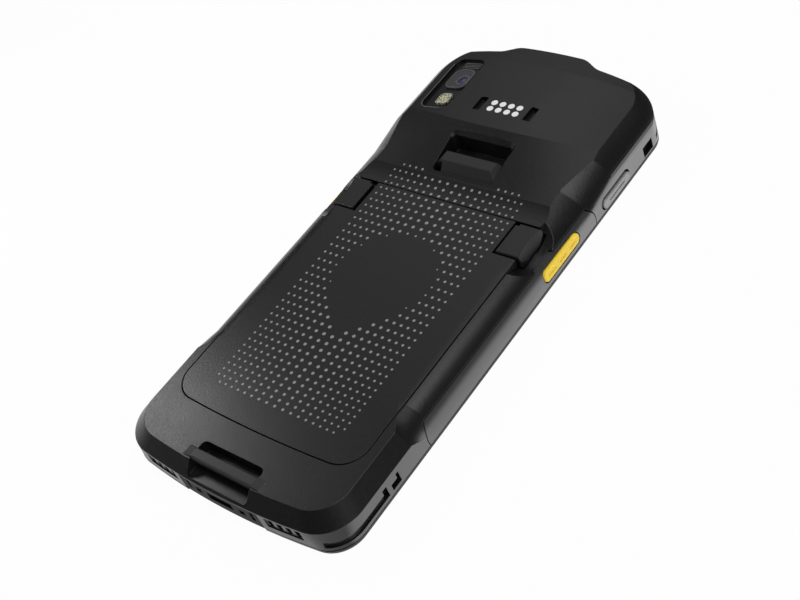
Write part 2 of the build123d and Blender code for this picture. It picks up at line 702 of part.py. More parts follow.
def scan_engine():
    front = SCAN_BAY_Y - 1.2
    body = block((-9, 9), (front - 14.4, front), (BOARD_Z[1], 12.4))
    lens = Plane.XZ * Pos(-3.5, 9.6) * Circle(2.3)
    body += extrude(Pos(0, front - 0.4, 0) * lens, amount=1.4, dir=(0, 1, 0))
    return body - block((1.5, 7.5), (front - 1.9, LENGTH), (8.0, 11.2))


def scan_window():
    y = (SCAN_WINDOW_Y - 0.4, SCAN_WINDOW_Y + 0.4)
    return block((-SCAN_WINDOW_X, SCAN_WINDOW_X), y, SCAN_WINDOW_Z)


def rear_camera():
    x, y = CAM_CENTRE
    body = block(around(x, 4.3), (y - 4.3, y + 4.3), (BOARD_Z[1], MODULE_TOP))
    return body + prism(Pos(x, y) * Circle(2.8), MODULE_TOP, MODULE_TOP + 2.2)


def recess_window(centre, size, radius):
    return layer(rounded(centre, size, radius, MODULE_TOP, TALL), WINDOW_SINK, CAM_DEPTH)


def flash_led():
    x, y = FLASH_CENTRE
    body = block(around(x, 2.5), around(y, 2.5), (BOARD_Z[1], MODULE_TOP))
    return body + prism(Pos(x, y) * Circle(1.6), MODULE_TOP, MODULE_TOP + 1.6)


def rear_contact_pads():
    return [prism(Pos(x, y) * Circle(PAD_D / 2), BLOCK_Z[1], PAD_TOP) for x in PAD_X for y in PAD_Y]


def rear_contact_block():
    return block((-BLOCK_X, BLOCK_X), (PAD_Y[0] - BLOCK_EDGE, PAD_Y[1] + BLOCK_EDGE), BLOCK_Z)


def battery_terminal():
    y = (PACK_HIGH_Y + PIN_LONG, PACK_HIGH_Y + TERMINAL_LONG)
    return block((-TERMINAL_X, TERMINAL_X), y, TERMINAL_Z)


def terminal_pins():
    y = (PACK_HIGH_Y, PACK_HIGH_Y + PIN_LONG)
    return [block(around(x, 0.6), y, (6.5, 7.3)) for x in PIN_X]


def loudspeaker():
    x = (END_BAY_X - 14.0, END_BAY_X - 1.3)
    body = block(x, (LOW_END + 5.5, LOW_END + 14.8), (FLOOR_LOW, END_BAY_Z - 0.3))
    return fillet(body.edges().filter_by(Axis.Z), 1.5)


def vibration_motor():
    return prism(Pos(-10.2, LOW_END + 11.5) * Circle(4), FLOOR_LOW, FLOOR_LOW + 2.6)


def microphone():
    x = (-END_BAY_X + 8.0, -END_BAY_X + 12.0)
    return block(x, (LOW_END + 5.3, LOW_END + 8.9), (FLOOR_LOW, FLOOR_LOW + 1.6))


def low_antenna():
    x = (-END_BAY_X + 1.0, -END_BAY_X + 6.0)
    return block(x, (LOW_END + 6.8, LOW_END + 14.3), (FLOOR_LOW, FLOOR_LOW + 2.2))


def high_antenna():
    x = (BOARD_X - 16.6, BOARD_X - 3.5)
    return block(x, (BOARD_Y[1] - 6.5, BOARD_Y[1] - 0.5), (BOARD_Z[1], BOARD_Z[1] + 2.2))


def usb_socket():
    low, back = USB_Y
    inner = around(0, USB_X - USB_SKIN)
    z = (USB_Z[0] + USB_SKIN, USB_Z[1] - USB_SKIN)
    body = block((-USB_X, USB_X), USB_Y, USB_Z)
    body = fillet(body.edges().filter_by(Axis.Y), 1.0) - block(inner, (low - 1, back - 1), z)
    return body + block((-3.2, 3.2), (low + 0.6, back - 1), around(sum(USB_Z) / 2, 0.2))


def connector_panel():
    body = prism(outline(0.15), PANEL_Z[0], PANEL_Z[1])
    body = body & block((-PANEL_X + 0.1, PANEL_X - 0.1), (-LENGTH, PANEL_BACK), ALL)
    body -= block((-USB_X, USB_X), (-LENGTH, USB_Y[1]), USB_Z)
    for place, width, z in PANEL_HOLES:
        for side in (-1, 1):
            body -= block(around(side * place * PANEL_X, width / 2), (-LENGTH, PANEL_BACK - 0.8), z)
    return body - dock_contacts()


def dock_contacts():
    return [block(around(x, 0.9), (LOW_END + 0.6, PANEL_BACK), DOCK_Z) for x in DOCK_X]


def speaker_mesh():
    """Mesh behind the right-hand speaker slots."""
    z = (FLOOR_LOW + 0.1, END_BAY_Z - 0.1)
    body = prism(outline(WALL), *z) - prism(outline(WALL + 0.3), *z)
    x = (SPEAKER_X[0] - MESH_MARGIN, SPEAKER_X[-1] + MESH_MARGIN)
    return body & block(x, (-LENGTH, END_BAY_Y), ALL)


def case_screws():
    screws = []
    for x, y in SCREWS:
        head = prism(Pos(x, y) * Circle(SCREW_HEAD_R), FLOOR_HIGH - 0.9, FLOOR_HIGH)
        shaft = prism(Pos(x, y) * Circle(SCREW_R), 2.7, FLOOR_HIGH - 0.9)
        slot = Pos(x, y, FLOOR_HIGH) * (Box(2.0, 0.5, 0.8) + Box(0.5, 2.0, 0.8))
        screws.append(head + shaft - slot)
    return screws


def upper_strap_bar():
    """Bar across the strap pocket, its front slanting down to the pocket's edge."""
    low, top = UP_BAR_Z
    front = UP_POCKET_Y[0]
    side = Face(Wire.make_polygon([
        (-UP_POCKET_X, front, low),
        (-UP_POCKET_X, front, low + 0.4),
        (-UP_POCKET_X, UP_BAR_Y[0], top),
        (-UP_POCKET_X, UP_BAR_Y[1], top),
        (-UP_POCKET_X, UP_BAR_Y[1], low),
    ]))
    across = Face(Wire.make_polygon([
        (-UP_POCKET_X, front, low),
        (UP_POCKET_X, front, low),
        (UP_POCKET_X, front, UP_ROOT_Z),
        (UP_BAR_X, front, top),
        (-UP_BAR_X, front, top),
        (-UP_POCKET_X, front, UP_ROOT_Z),
    ]))
    body = extrude(side, amount=2 * UP_POCKET_X, dir=(1, 0, 0))
    body = body & extrude(across, amount=UP_BAR_Y[1] - front, dir=(0, 1, 0))
    body = fillet(body.edges().filter_by(Axis.X).group_by(Axis.Z)[-1], 0.5)
    notch = block((-LENGTH, -UP_POCKET_X + UP_NOTCH[0]), (front - 1, front + UP_NOTCH[1]), ALL)
    return (body & upper_hollow(0.1)) - notch + upper_root()


def lower_strap_bar():
    low, top = LOW_BAR_Z
    y = LOW_BAR_Y[0]
    face = Face(Wire.make_polygon([
        (-LOW_BAR_X, y, low),
        (LOW_BAR_X, y, low),
        (LOW_BAR_X, y, BACK_Z),
        (LOW_SLOT_X, y, top),
        (-LOW_SLOT_X, y, top),
        (-LOW_BAR_X, y, BACK_Z),
    ]))
    body = extrude(face, amount=LOW_BAR_Y[1] - y, dir=(0, 1, 0))
    edges = body.edges().filter_by(Axis.X).group_by(Axis.Z)[-1]
    return fillet(edges, 0.4)


def right_grip():
    return (BODY & grip_shape()) - scan_key_room() - recess_cut()


def scan_key():
    y, z = SCAN_KEY[:2]
    body = side_pill((KEY_BACK, SCAN_KEY_FACE), SCAN_KEY)
    body = fillet(body.faces().sort_by(Axis.X)[-1].edges(), 0.5)
    for shift in (-5.2, 0, 5.2):
        body -= block((SCAN_KEY_FACE - KEY_GROOVE, OUT), around(y + shift, 1.7), around(z, 0.35))
    body += block((KEY_FLANGE[1], KEY_BACK), around(y, SCAN_WEB[0]), SCAN_WEB[1:])
    return body + block(KEY_FLANGE, around(y, SCAN_FLANGE[0]), SCAN_FLANGE[1:])


def side_bar_key():
    """Key with one groove, used for the talk key and the volume rocker."""
    y, z = TALK_KEY[:2]
    body = side_pill((KEY_BACK, TALK_KEY_FACE), TALK_KEY)
    body = fillet(body.faces().sort_by(Axis.X)[-1].edges(), 0.35)
    body -= block((TALK_KEY_FACE - KEY_GROOVE, OUT), around(y, 3.9), around(z, KEY_GROOVE))
    body += block((KEY_FLANGE[1], KEY_BACK), around(y, TALK_WEB[0]), TALK_WEB[1:])
    return body + block(KEY_FLANGE, around(y, TALK_FLANGE[0]), TALK_FLANGE[1:])


def power_key():
    x, z = POWER_KEY[:2]
    body = end_pill((POWER_BACK, POWER_FACE), POWER_KEY)
    body = fillet(body.faces().sort_by(Axis.Y)[-1].edges(), 0.3)
    body += block(around(x, POWER_WEB[0]), (POWER_FLANGE_Y[1], POWER_BACK), around(z, POWER_WEB[1]))
    return body + block(around(x, POWER_FLANGE[0]), POWER_FLANGE_Y, around(z, POWER_FLANGE[1]))


def side_switches():
    """Switch strip behind the right-hand keys."""
    switches = []
    for key, flange in ((SCAN_KEY, SCAN_FLANGE), (TALK_KEY, TALK_FLANGE)):
        for shift in (-SWITCH_SHIFT, SWITCH_SHIFT):
            switches.append(block(SWITCH_X, around(key[0] + shift, 1.5), flange[1:]))
    return switches


def power_switch():
    x, z = POWER_KEY[:2]
    return block(around(x, 2), POWER_SWITCH_Y, around(z, 0.9)) - main_board()


def tab_shape(side_gap=0.0, gap=0.0):
    """Right-hand tab that hooks under the low end of the battery well."""
    x = (TAB_X - TAB_W / 2 - side_gap, TAB_X + TAB_W / 2 + side_gap)
    y = (PACK_LOW_Y - TAB_REACH - gap, PACK_LOW_Y + 3.0)
    return block(x, y, (TAB_Z[0] - gap, TAB_Z[1] + gap / 2))


def latch_pocket():
    y = (LATCH_Y[0] - 0.3, PACK_HIGH_Y + 1)
    return block((LATCH_POCKET, PACK_X + 1), y, (FOOT_Z - 0.3, TALL))


def battery_tray():
    floor = FLOOR_HIGH + PACK_GAP
    top = BACK_Z - COVER_T
    end = PACK_HIGH_Y - TRAY_END
    inside = (floor + TRAY_WALL, top)
    body = prism(pack_outline(), floor, top) & block(ALL, (-LENGTH, end), ALL)
    body += both(tab_shape()) - block(ALL, (PACK_LOW_Y + 1.3, LENGTH), ALL)
    body -= block((-CELL_X, CELL_X), CELL_Y, inside)
    body -= block((-BOARD_BAY_X, BOARD_BAY_X), (CELL_Y[1], end - 1.2), inside)
    body -= both(latch_pocket())
    for x in PIN_X:
        body -= block(around(x, 1.2), (end - 1.2, end + 1), (6.3, 7.5))
    return body


def pack_contacts():
    end = PACK_HIGH_Y - TRAY_END
    return [block(around(x, 1.2), (end - 1.2, end), (6.3, 7.5)) for x in PIN_X]


def battery_cell():
    z = (FLOOR_HIGH + PACK_GAP + TRAY_WALL, BACK_Z - COVER_T - 0.2)
    body = block((-CELL_X + 0.4, CELL_X - 0.4), (CELL_Y[0] + 0.4, CELL_Y[1] - 0.6), z)
    return fillet(body.edges().filter_by(Axis.Z), 2.0)


def pack_board():
    end = PACK_HIGH_Y - TRAY_END
    low = CELL_Y[1] + 0.4
    body = block(around(0, BOARD_BAY_X - 0.4), (low, end - 1.3), (6.3, 7.3))
    return body + block((-8, 8), (low + 3.2, low + 8.2), (7.3, 8.6))


def battery_cover():
    body = BODY & prism(pack_outline(), BACK_Z - COVER_T, TALL)
    cut = block((LATCH_IN - LATCH_ROOM, OUT), (LATCH_Y[0] - 0.3, LENGTH), ALL)
    return body - both(cut)


def latch():
    """Right-hand squeeze latch of the pack."""
    low, high = LATCH_Y
    turn = LATCH_ROUND * (1 - cos(radians(45)))
    points = [
        (LATCH_OUT, low, LATCH_TOP - LATCH_ROUND),
        (LATCH_OUT, low, LATCH_LOW),
        (LATCH_IN, low, LATCH_LOW),
        (LATCH_IN, low, LATCH_TOP),
        (LATCH_OUT - LATCH_ROUND, low, LATCH_TOP),
    ]
    edges = [Line(points[index], points[index + 1]) for index in range(4)]
    edges.append(ThreePointArc(points[4], (LATCH_OUT - turn, low, LATCH_TOP - turn), points[0]))
    body = extrude(Face(Wire(edges)), amount=high - low, dir=(0, 1, 0))
    ends = [e for e in body.edges() if e.center().X > LATCH_OUT - LATCH_ROUND / 2]
    ends = [e for e in ends if e.center().Y < low + 0.1 or e.center().Y > high - 0.1]
    body = fillet(ends, LATCH_SOFT)
    height = LATCH_TOP - LATCH_LOW
    pad = Cone(PAD_RADIUS, PAD_RADIUS + PAD_SPREAD, height)
    body -= Pos(LATCH_OUT - 0.2 + PAD_RADIUS, (low + high) / 2, LATCH_LOW + height / 2) * pad
    body -= block((LATCH_IN - 1, LATCH_IN + 1.1), (high - 1.0, high + 1), (LATCH_TOP - 1.55, TALL))
    body += block((LATCH_IN, PACK_X - 0.3), (low + 0.4, high - 0.4), (FOOT_Z, LATCH_LOW))
    return body + block((LATCH_IN - TONGUE, LATCH_IN), around(SPRING_Y, 4.0), (FOOT_Z, SPRING_Z + 1.2))


def latch_spring():
    length = LATCH_IN - TONGUE - LATCH_POCKET
    coil = Helix(pitch=length / 3.5, height=length - SPRING_WIRE, radius=SPRING_R)
    start = Plane(origin=coil @ 0, z_dir=coil % 0)
    body = sweep(start * Circle(SPRING_WIRE / 2), path=coil, is_frenet=True)
    turned = Rot(0, 90, 0) * body
    return Pos(LATCH_POCKET + SPRING_WIRE / 2, SPRING_Y, SPRING_Z) * turned


def one(shape):
    return Compound(children=list(shape)) if isinstance(shape, list) else shape


def left(shape):
    return mirror(one(shape), Plane.YZ)


def parts():
    keys = {
        "scan_key_right": scan_key(),
        "talk_key": side_bar_key(),
        "power_key": power_key(),
        "scan_key_left": left(scan_key()),
        "volume_rocker": left(side_bar_key()),
    }
    casing = {
        "rear_housing": rear_housing(),
        "front_bezel": front_bezel(),
        "shell_seal": shell_seal(),
        "mid_chassis": mid_chassis(),
        "case_screws": case_screws(),
        "right_grip": right_grip(),
        "left_grip": left(right_grip()),
        "upper_strap_bar": upper_strap_bar(),
        "lower_strap_bar": lower_strap_bar(),
        "connector_panel": connector_panel(),
        "speaker_mesh_right": speaker_mesh(),
        "speaker_mesh_left": left(speaker_mesh()),
        "scan_window": scan_window(),
        "camera_window": recess_window(CAM_CENTRE, CAM_WINDOW, 2.6),
        "flash_window": recess_window(FLASH_CENTRE, FLASH_WINDOW, 1.2),
        "rear_contact_pads": rear_contact_pads(),
        "rear_contact_block": rear_contact_block(),
    }
    electronics = {
        "display_glass": display_glass(),
        "display_panel": display_panel(),
        "earpiece": earpiece(),
        "front_camera": front_camera(),
        "main_board": main_board(),
        "processor_shield": shield((-BOARD_X + 1.5, -6), SHIELD_Y),
        "radio_shield": shield((6, BOARD_X - 4), SHIELD_Y),
        "card_socket": card_socket(),
        "scan_engine": scan_engine(),
        "rear_camera": rear_camera(),
        "flash_led": flash_led(),
        "battery_terminal": battery_terminal(),
        "terminal_pins": terminal_pins(),
        "loudspeaker": loudspeaker(),
        "vibration_motor": vibration_motor(),
        "microphone": microphone(),
        "low_antenna": low_antenna(),
        "high_antenna": high_antenna(),
        "usb_socket": usb_socket(),
        "dock_contacts": dock_contacts(),
        "switches_right": side_switches(),
        "switches_left": left(side_switches()),
        "power_switch": power_switch(),
    }
    pack = {
        "battery_tray": battery_tray(),
        "battery_cover": battery_cover(),
        "battery_cell": battery_cell(),
        "pack_board": pack_board(),
        "pack_contacts": pack_contacts(),
        "latch_right": latch(),
        "latch_left": left(latch()),
        "latch_spring_right": latch_spring(),
        "latch_spring_left": left(latch_spring()),
    }
    return {**casing, **electronics, **pack, **keys}


os.makedirs("parts", exist_ok=True)
for name, shape in parts().items():
    export_step(one(shape), f"parts/{name}.step")
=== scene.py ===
import json
import math

import bmesh
import bpy
from mathutils import Matrix, Vector
from mathutils.bvhtree import BVHTree


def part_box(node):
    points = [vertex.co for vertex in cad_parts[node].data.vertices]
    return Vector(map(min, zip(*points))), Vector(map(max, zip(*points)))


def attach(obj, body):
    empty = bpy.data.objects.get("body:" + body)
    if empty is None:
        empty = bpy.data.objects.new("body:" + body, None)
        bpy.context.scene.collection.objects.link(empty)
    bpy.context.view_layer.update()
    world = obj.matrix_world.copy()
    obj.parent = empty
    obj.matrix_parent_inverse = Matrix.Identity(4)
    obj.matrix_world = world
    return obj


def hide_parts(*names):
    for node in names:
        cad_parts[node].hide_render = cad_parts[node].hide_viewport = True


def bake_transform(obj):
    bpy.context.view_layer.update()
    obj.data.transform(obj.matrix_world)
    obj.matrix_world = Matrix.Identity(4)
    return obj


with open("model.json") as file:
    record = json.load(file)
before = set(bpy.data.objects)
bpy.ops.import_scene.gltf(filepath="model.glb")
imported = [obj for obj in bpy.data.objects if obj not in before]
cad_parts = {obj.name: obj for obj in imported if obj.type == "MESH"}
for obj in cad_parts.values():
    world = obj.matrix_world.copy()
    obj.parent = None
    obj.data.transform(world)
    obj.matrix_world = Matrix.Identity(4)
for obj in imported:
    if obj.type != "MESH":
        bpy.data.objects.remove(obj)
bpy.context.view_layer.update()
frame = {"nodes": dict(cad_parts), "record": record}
nodes = frame["nodes"]

MM = 0.001


# Finishes ------------------------------------------------------------------------------------

class Wire:
    """Output socket of a shader node; arithmetic on it adds Math nodes."""

    def __init__(self, finish, socket):
        self.finish = finish
        self.socket = socket

    def math(self, operation, *values):
        inputs = dict(enumerate(values))
        return self.finish.node("Math", {"operation": operation}, inputs)

    def __add__(self, other):
        return self.math("ADD", self, other)

    def __radd__(self, other):
        return self.math("ADD", other, self)

    def __sub__(self, other):
        return self.math("SUBTRACT", self, other)

    def __rsub__(self, other):
        return self.math("SUBTRACT", other, self)

    def __mul__(self, other):
        return self.math("MULTIPLY", self, other)

    def __rmul__(self, other):
        return self.math("MULTIPLY", other, self)

    def __truediv__(self, other):
        return self.math("DIVIDE", self, other)

    def __pow__(self, other):
        return self.math("POWER", self, other)

    def absolute(self):
        return self.math("ABSOLUTE", self)

    def root(self):
        return self.math("SQRT", self)

    def nearest(self):
        return self.math("ROUND", self)

    def most(self, other):
        return self.math("MAXIMUM", self, other)

    def step(self, low, high):
        """0 below low, 1 above high, smooth between; low may be above high."""
        inputs = {"Value": self, "From Min": low, "From Max": high}
        return self.finish.node("MapRange", {"interpolation_type": "SMOOTHSTEP"}, inputs)

    def over(self, limit, soft=0.1):
        return self.step(limit, limit + soft)

    def under(self, limit, soft=0.1):
        return self.step(limit + soft, limit)


class Finish:
    """One material, with its nodes made by one method."""

    def __init__(self, name, **constants):
        self.material = bpy.data.materials.new(name)
        self.material.use_nodes = True
        self.tree = self.material.node_tree
        self.shader = self.tree.nodes["Principled BSDF"]
        for key, value in constants.items():
            self.set(key.replace("_", " "), value)

    def set(self, socket, value):
        target = self.shader.inputs[socket]
        if isinstance(value, Wire):
            self.tree.links.new(value.socket, target)
        else:
            target.default_value = value

    def node(self, kind, settings=None, inputs=None, output=0):
        made = self.tree.nodes.new("ShaderNode" + kind)
        for key, value in (settings or {}).items():
            setattr(made, key, value)
        for key, value in (inputs or {}).items():
            if isinstance(value, Wire):
                self.tree.links.new(value.socket, made.inputs[key])
            else:
                made.inputs[key].default_value = value
        return Wire(self, made.outputs[output])

    def place(self, axis=None):
        """Object coordinates, or one of them in millimetres."""
        spot = self.node("TexCoord", output="Object")
        if axis is None:
            return spot
        parts = self.node("SeparateXYZ", inputs={0: spot}, output="XYZ".index(axis))
        return parts * 1000.0

    def facing(self, axis):
        """One axis of the surface's direction in the piece's own frame, the same at every pose."""
        toward = self.node("NewGeometry", output="Normal")
        own = self.node("VectorTransform", {"vector_type": "NORMAL", "convert_from": "WORLD",
                                            "convert_to": "OBJECT"}, {0: toward})
        return self.node("SeparateXYZ", inputs={0: own}, output="XYZ".index(axis))

    def noise(self, scale, detail=2.0, rough=0.5, stretch=None):
        spot = self.place()
        if stretch:
            spot = self.node("Mapping", inputs={"Vector": spot, "Scale": stretch})
        return self.node("TexNoise", inputs={"Vector": spot, "Scale": scale, "Detail": detail,
                                             "Roughness": rough})

    def pits(self, scale):
        return self.node("TexVoronoi", inputs={"Vector": self.place(), "Scale": scale})

    def blend(self, mask, low, high):
        """Mix of two colours by a mask; each is a tuple or a wire."""
        inputs = {"Factor": mask}
        inputs[6] = low if isinstance(low, Wire) else (*low, 1.0)
        inputs[7] = high if isinstance(high, Wire) else (*high, 1.0)
        return self.node("Mix", {"data_type": "RGBA"}, inputs, output=2)

    def relief(self, height, depth, edge=0.0):
        """Bump of a height field, this deep in metres; edge rounds off sharp edges by that much."""
        inputs = {"Height": height, "Distance": depth, "Strength": 1.0}
        if edge:
            inputs["Normal"] = self.node("Bevel", {"samples": 6}, {"Radius": edge})
        self.set("Normal", self.node("Bump", inputs=inputs))


def scaled(colour, factor):
    return tuple(channel * factor for channel in colour)


def moulded(name, colour, rough, grain=0.02 * MM, scale=2600.0, shade=0.12, **constants):
    """Moulded plastic: the fine grain of the mould, with slightly uneven tint and gloss."""
    finish = Finish(name, **constants)
    sparks = finish.noise(scale, 3.0, 0.6) + finish.pits(scale * 0.5) * 0.6
    finish.relief(sparks, grain, edge=0.25 * MM)
    cloud = finish.noise(38.0, 3.0)
    fine = finish.noise(900.0)
    tint = (cloud - 0.5) * shade + (fine - 0.5) * shade + 0.5
    finish.set("Base Color", finish.blend(tint.step(0.2, 0.8), scaled(colour, 0.8),
                                          scaled(colour, 1.2)))
    finish.set("Roughness", rough + (cloud - 0.5) * 0.12 + (fine - 0.5) * 0.08)
    return finish


def side_sheen(finish):
    """Rubbed, satin side faces: a coat on the outer sides, fuller toward the high end."""
    across = finish.facing("X").absolute().step(0.86, 0.97)
    worn = finish.noise(55.0, 3.0) * 0.3 + 0.85
    length = finish.place("Y").step(-70.0, 75.0) * 0.5 + 0.5
    outer = finish.place("X").absolute().step(36.0, 37.5)
    finish.set("Coat Weight", across * outer * length * worn)
    finish.set("Coat Roughness", 0.4)
    finish.set("Coat IOR", 2.45)
    return finish


def plain_metal(name, colour, rough, stretch=(1.0, 60.0, 1.0)):
    """Metal with fine drawn lines, along Y unless stretch says otherwise."""
    finish = Finish(name, Metallic=1.0)
    lines = finish.noise(420.0, 3.0, 0.6, stretch)
    finish.relief(lines, 0.012 * MM, edge=0.12 * MM)
    finish.set("Roughness", rough + (lines - 0.5) * 0.16)
    finish.set("Base Color", finish.blend(lines, scaled(colour, 0.85), colour))
    return finish


# The dots on the back, in millimetres. Each pitch is the first one, and falls from dot to dot.
DOT_RADIUS = 0.56
DOT_CENTRE_Y = -3.46
DOT_PITCH_X = 2.95
DOT_PITCH_LOW = 3.0       # along Y, on the low half
DOT_PITCH_HIGH = 2.91     # along Y, on the high half
DOT_FALL_X = 0.05
DOT_FALL_Y = 0.0245
DOTS_Y = (-56.0, 30.9)
LAST_ROWS_Y = (-54.8, 29.0)    # the rows past these are one dot shorter on each side
LAST_COLUMN = 8.3
TOP_ROW_GAP = 12.2
DROP_Y = -8.0
DROP_RADIUS = 15.1
DROP_POINT = 21.7
DROP_HALF_WIDTH = 11.9


def dot_number(distance, pitch, fall):
    """Number of the nearest dot at a distance, where dot n is at pitch * n - fall * n * n."""
    inside = (pitch * pitch - 4 * fall * distance).most(0.0)
    return ((pitch - inside.root()) / (2 * fall)).nearest()


def dot_place(number, pitch, fall):
    return pitch * number - fall * number * number


def dot_field(finish):
    """Mask of a halftone of small dots whose pitch and size fall away from the middle."""
    x = finish.place("X").absolute()
    along = finish.place("Y") - DOT_CENTRE_Y
    high = along.math("GREATER_THAN", along, 0.0)
    far = along.absolute()
    pitch = DOT_PITCH_LOW - high * (DOT_PITCH_LOW - DOT_PITCH_HIGH)
    column = dot_number(x, DOT_PITCH_X, DOT_FALL_X)
    row = dot_number(far, pitch, DOT_FALL_Y)
    dot_x = dot_place(column, DOT_PITCH_X, DOT_FALL_X)
    dot_far = dot_place(row, pitch, DOT_FALL_Y)
    dot_y = dot_far * (high * 2.0 - 1.0) + DOT_CENTRE_Y
    away = ((x - dot_x) ** 2.0 + (far - dot_far) ** 2.0).root()

    # Bare drop shape in the middle: a circle with a point toward the low end
    from_drop = (dot_x * dot_x + (dot_y - DROP_Y) ** 2.0).root()
    point = (dot_x - dot_y + DROP_Y).under(DROP_POINT, 0.2)
    point = point * dot_x.under(DROP_HALF_WIDTH, 0.2) * dot_y.under(DROP_Y - 0.1, 0.2)
    shown = from_drop.over(DROP_RADIUS) * (1.0 - point)

    # Outline of the field
    full_row = dot_y.over(LAST_ROWS_Y[0]) * dot_y.under(LAST_ROWS_Y[1])
    shown = shown * (column - full_row).under(LAST_COLUMN)
    shown = shown * dot_y.over(DOTS_Y[0]) * dot_y.under(DOTS_Y[1])
    shown = shown * dot_y.under(LAST_ROWS_Y[1]).most(dot_x.over(TOP_ROW_GAP))

    size = DOT_RADIUS * (1.0 - 0.33 * column / 9.0) * (1.0 - 0.23 * ((dot_y + 10.0) / 45.0) ** 2.0)
    size = size * (0.5 + 0.5 * from_drop.step(15.2, 17.2))
    return (away - size).step(0.08, -0.08) * shown


BODY_GREY = (0.0062, 0.0057, 0.0059)
PRINT_GREY = (0.27, 0.262, 0.27)


def printed_back(name, rough):
    """Back shell plastic with the dots printed on its upper faces, and none in the well."""
    finish = moulded(name, BODY_GREY, rough)
    upper = finish.facing("Z").step(0.8, 0.9) * finish.place("Z").step(10.2, 10.7)
    plain = Wire(finish, finish.shader.inputs["Base Color"].links[0].from_socket)
    finish.set("Base Color", finish.blend(dot_field(finish) * upper, plain, PRINT_GREY))
    return side_sheen(finish)


def dark_glass(name, colour=(0.004, 0.004, 0.005)):
    finish = Finish(name, Base_Color=(*colour, 1.0), Coat_Weight=0.5, Coat_Roughness=0.02)
    smear = finish.noise(60.0, 4.0, 0.6)
    finish.set("Roughness", 0.05 + smear.step(0.5, 0.8) * 0.06)
    finish.relief(smear, 0.004 * MM, edge=0.1 * MM)
    return finish


FLASH_SPOT = (-23.5, 56.6)


def flash_lens():
    """Clear cover with fine facets over two yellowish light chips; each facet is painted pale in its
    middle and dark at its edges, as painted glint and shade.
    """
    finish = Finish("flash_cover", Coat_Weight=0.5, Coat_Roughness=0.03)
    facets = finish.pits(1500.0)
    x = finish.place("X") - FLASH_SPOT[0]
    y = finish.place("Y") - FLASH_SPOT[1]
    chips = (x.absolute() - 0.75).absolute().step(0.62, 0.5) * y.absolute().step(1.5, 1.2)
    # Painted glint and shade: each facet is pale in its middle and dark toward its edges, in place of
    # the light a clear faceted cover refracts.
    clear = finish.blend(facets.step(0.1, 0.7), (0.85, 0.86, 0.72), (0.10, 0.10, 0.07))
    finish.set("Base Color", finish.blend(chips * 0.45, clear, (0.62, 0.58, 0.2)))
    finish.set("Roughness", 0.08 + facets * 0.2)
    finish.relief(facets, 0.12 * MM)
    return finish


def painted_glint_lens():
    """Dark lens glass with a blue-violet glint painted into its colour in swirls."""
    finish = Finish("lens_glass_painted_glint", Coat_Weight=0.6, Coat_Roughness=0.03)
    glint_swirl = finish.noise(900.0)
    finish.set("Base Color", finish.blend(glint_swirl.step(0.3, 0.7), (0.008, 0.01, 0.03),
                                          (0.04, 0.06, 0.34)))
    finish.set("Roughness", 0.06 + glint_swirl * 0.05)
    finish.relief(glint_swirl, 0.002 * MM)
    return finish


def speaker_mesh():
    """Fine black woven mesh, six threads to a millimetre, with painted shade in the holes between the
    threads.
    """
    finish = Finish("woven_speaker_mesh")
    x = finish.place("X") * 6.0
    z = finish.place("Z") * 6.0
    weave = (x - x.nearest()).absolute().most((z - z.nearest()).absolute())
    shaded_hole = weave.step(0.34, 0.26)
    # Painted shade: the holes between the threads are near-black, as the shade behind the mesh.
    finish.set("Base Color", finish.blend(shaded_hole, (0.035, 0.035, 0.036), (0.003, 0.003, 0.003)))
    finish.set("Roughness", 0.45 + shaded_hole * 0.4)
    finish.relief(1.0 - shaded_hole, 0.04 * MM)
    return finish


def painted_reflection_contact():
    """Contact faces painted near-white and almost non-metallic, a painted reflection in place of the
    shine of plated metal, lightly worn by the spring pins.
    """
    finish = Finish("contact_painted_reflection")
    wear = finish.noise(1400.0, 3.0)
    cloud = finish.noise(260.0)
    # Painted reflection: the near-white colour stands in for the bright reflection that plated metal
    # shows.
    finish.set("Base Color", finish.blend(wear.step(0.35, 0.75), (0.97, 0.97, 0.96),
                                          (0.86, 0.85, 0.83)))
    finish.set("Metallic", 0.04 + cloud * 0.12)
    finish.set("Roughness", 0.26 + wear * 0.2)
    finish.relief(wear, 0.006 * MM, edge=0.12 * MM)
    return finish


